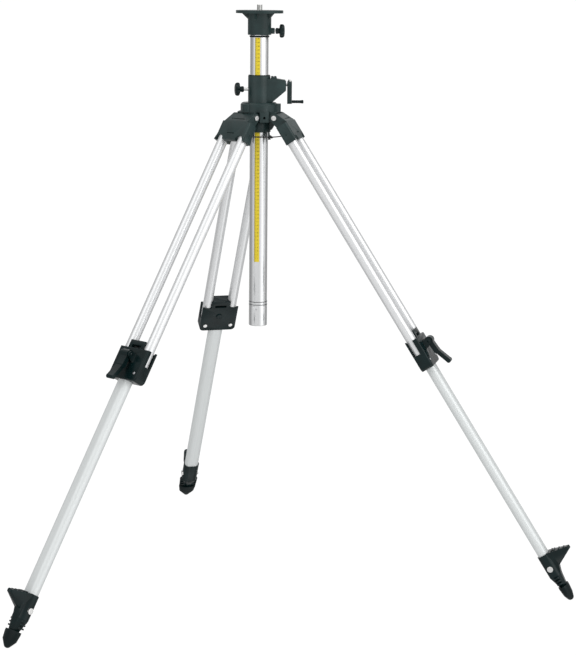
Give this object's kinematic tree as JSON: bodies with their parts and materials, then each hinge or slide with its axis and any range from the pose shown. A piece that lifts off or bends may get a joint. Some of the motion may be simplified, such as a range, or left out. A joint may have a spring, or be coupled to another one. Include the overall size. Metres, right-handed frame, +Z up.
{
  "type": "elevating tripod",
  "caption": "Surveying tripod with a cranked, scaled centre column, a flat head with fixing stud, and folding telescopic twin-tube legs with lever clamps and rubber boots.",
  "frame": {"origin": "floor level on the column axis", "axes": "+Z up along the column; +X to the right in the picture, close to the crank side; -Y towards the camera"},
  "size_m": [1.4914, 1.4914, 1.5776],
  "materials": {
    "black_paint": "satin black coating on cast aluminium",
    "black_plastic": "fine grained moulded plastic",
    "aluminium": "satin anodised",
    "zinc": "bright zinc plate",
    "steel": "machined steel",
    "rubber": "moulded rubber",
    "scale_tape": "printed yellow scale",
    "brass": "plain turned bush",
    "cord": "braided cord"
  },
  "bodies": {
    "hub": {"hub": "black_paint", "gear_cover": "black_paint", "gear_cover_screws": "black_paint", "column_bushes": "black_plastic", "shaft_bush": "brass", "spreader_cord": "cord"},
    "column": {"column_tube": "aluminium", "column_scale": "scale_tape", "column_rack": "steel", "column_end": "aluminium", "column_ring": "rubber"},
    "head": {"head_plate": "black_paint", "head_stud": "zinc"},
    "head_clamp": {"head_knob": "black_plastic", "head_screw": "zinc"},
    "clamp_pad": {"clamp_pad": "black_plastic"},
    "column_clamp": {"clamp_knob": "black_plastic", "clamp_screw": "zinc"},
    "crank": {"crank_shaft": "steel", "crank_arm": "black_paint", "crank_set_screw": "zinc"},
    "grip": {"crank_grip": "black_plastic"},
    "pinion": {"pinion_shaft": "steel", "bevel_gear": "steel"},
    "leg_right": {"leg_head_right": "black_paint", "upper_tubes_right": "aluminium", "leg_fasteners_right": "zinc", "clamp_block_right": "black_plastic"},
    "lower_right": {"leg_guide_right": "black_plastic", "lower_tube_right": "aluminium", "foot_right": "black_plastic", "foot_hardware_right": "zinc"},
    "lever_right": {"clamp_lever_right": "black_plastic"},
    "shoe_right": {"brake_shoe_right": "rubber"},
    "boot_right": {"foot_boot_right": "rubber"},
    "leg_rear": {"leg_head_rear": "black_paint", "upper_tubes_rear": "aluminium", "leg_fasteners_rear": "zinc", "clamp_block_rear": "black_plastic"},
    "lower_rear": {"leg_guide_rear": "black_plastic", "lower_tube_rear": "aluminium", "foot_rear": "black_plastic", "foot_hardware_rear": "zinc"},
    "lever_rear": {"clamp_lever_rear": "black_plastic"},
    "shoe_rear": {"brake_shoe_rear": "rubber"},
    "boot_rear": {"foot_boot_rear": "rubber"},
    "leg_left": {"leg_head_left": "black_paint", "upper_tubes_left": "aluminium", "leg_fasteners_left": "zinc", "clamp_block_left": "black_plastic"},
    "lower_left": {"leg_guide_left": "black_plastic", "lower_tube_left": "aluminium", "foot_left": "black_plastic", "foot_hardware_left": "zinc"},
    "lever_left": {"clamp_lever_left": "black_plastic"},
    "shoe_left": {"brake_shoe_left": "rubber"},
    "boot_left": {"foot_boot_left": "rubber"}
  },
  "joints": [
    {"name": "column_slide", "type": "slide", "parent": "hub", "child": "column", "axis": [0, 0, 1], "range_m": [-0.09, 0.4]},
    {"name": "head_swivel", "type": "hinge", "parent": "column", "child": "head", "pos_m": [0, 0, 1.49762], "axis": [0, 0, 1], "range_deg": [-180, 180]},
    {"name": "head_clamp_turn", "type": "hinge", "parent": "head", "child": "head_clamp", "pos_m": [0.05, 0, 1.50822], "axis": [1, 0, 0], "range_deg": [0, 360]},
    {"name": "pad_feed", "type": "slide", "parent": "hub", "child": "clamp_pad", "axis": [-0.9903, -0.1392, 0], "range_m": [0, 0.0016]},
    {"name": "column_clamp_turn", "type": "hinge", "parent": "clamp_pad", "child": "column_clamp", "pos_m": [-0.04951, -0.00696, 1.35312], "axis": [-0.9903, -0.1392, 0], "range_deg": [0, 432]},
    {"name": "crank_turn", "type": "hinge", "parent": "hub", "child": "crank", "pos_m": [0.075, 0.0095, 1.36462], "axis": [1, 0, 0], "range_deg": [-760, 3300]},
    {"name": "grip_spin", "type": "hinge", "parent": "crank", "child": "grip", "pos_m": [0.105, 0.0095, 1.31963], "axis": [1, 0, 0], "continuous": true},
    {"name": "pinion_turn", "type": "hinge", "parent": "hub", "child": "pinion", "pos_m": [0.03725, 0, 1.36462], "axis": [0, 1, 0], "range_deg": [-450, 1700]},
    {"name": "leg_fold_right", "type": "hinge", "parent": "hub", "child": "leg_right", "pos_m": [0.05023, -0.01346, 1.27913], "axis": [0.2588, 0.9659, 0], "range_deg": [0, 31], "deforming": ["spreader_cord"]},
    {"name": "leg_slide_right", "type": "slide", "parent": "leg_right", "child": "lower_right", "axis": [-0.5204, 0.1394, 0.8425], "range_m": [0, 0.565]},
    {"name": "lever_turn_right", "type": "hinge", "parent": "leg_right", "child": "lever_right", "pos_m": [0.46188, -0.12376, 0.69347], "axis": [-0.2588, -0.9659, 0], "range_deg": [0, 95]},
    {"name": "shoe_lift_right", "type": "slide", "parent": "leg_right", "child": "shoe_right", "axis": [0.8137, -0.218, 0.5388], "range_m": [0, 0.0006]},
    {"name": "boot_off_right", "type": "slide", "parent": "lower_right", "child": "boot_right", "axis": [0.5204, -0.1394, -0.8425], "range_m": [0, 0.04]},
    {"name": "leg_fold_rear", "type": "hinge", "parent": "hub", "child": "leg_rear", "pos_m": [-0.01346, 0.05023, 1.27913], "axis": [-0.9659, -0.2588, 0], "range_deg": [0, 31]},
    {"name": "leg_slide_rear", "type": "slide", "parent": "leg_rear", "child": "lower_rear", "axis": [0.1394, -0.5204, 0.8425], "range_m": [0, 0.565]},
    {"name": "lever_turn_rear", "type": "hinge", "parent": "leg_rear", "child": "lever_rear", "pos_m": [-0.12376, 0.46188, 0.69347], "axis": [0.9659, 0.2588, 0], "range_deg": [0, 95]},
    {"name": "shoe_lift_rear", "type": "slide", "parent": "leg_rear", "child": "shoe_rear", "axis": [-0.218, 0.8137, 0.5388], "range_m": [0, 0.0006]},
    {"name": "boot_off_rear", "type": "slide", "parent": "lower_rear", "child": "boot_rear", "axis": [-0.1394, 0.5204, -0.8425], "range_m": [0, 0.04]},
    {"name": "leg_fold_left", "type": "hinge", "parent": "hub", "child": "leg_left", "pos_m": [-0.03677, -0.03677, 1.27913], "axis": [0.7071, -0.7071, 0], "range_deg": [0, 31], "deforming": ["spreader_cord"]},
    {"name": "leg_slide_left", "type": "slide", "parent": "leg_left", "child": "lower_left", "axis": [0.381, 0.381, 0.8425], "range_m": [0, 0.565]},
    {"name": "lever_turn_left", "type": "hinge", "parent": "leg_left", "child": "lever_left", "pos_m": [-0.33812, -0.33812, 0.69347], "axis": [-0.7071, 0.7071, 0], "range_deg": [0, 95]},
    {"name": "shoe_lift_left", "type": "slide", "parent": "leg_left", "child": "shoe_left", "axis": [-0.5957, -0.5957, 0.5388], "range_m": [0, 0.0006]},
    {"name": "boot_off_left", "type": "slide", "parent": "lower_left", "child": "boot_left", "axis": [-0.381, -0.381, -0.8425], "range_m": [0, 0.04]}
  ],
  "couplings": [
    {"joint": "pinion_turn", "follows": "column_slide", "rad_per_m": 70.175},
    {"joint": "crank_turn", "follows": "column_slide", "rad_per_m": 140.35},
    {"joint": "pad_feed", "follows": "column_clamp_turn", "m_per_rad": 0.00019894},
    {"joint": "shoe_lift_right", "follows": "lever_turn_right", "m_per_rad": 0.00030156},
    {"joint": "shoe_lift_rear", "follows": "lever_turn_rear", "m_per_rad": 0.00030156},
    {"joint": "shoe_lift_left", "follows": "lever_turn_left", "m_per_rad": 0.00030156}
  ]
}
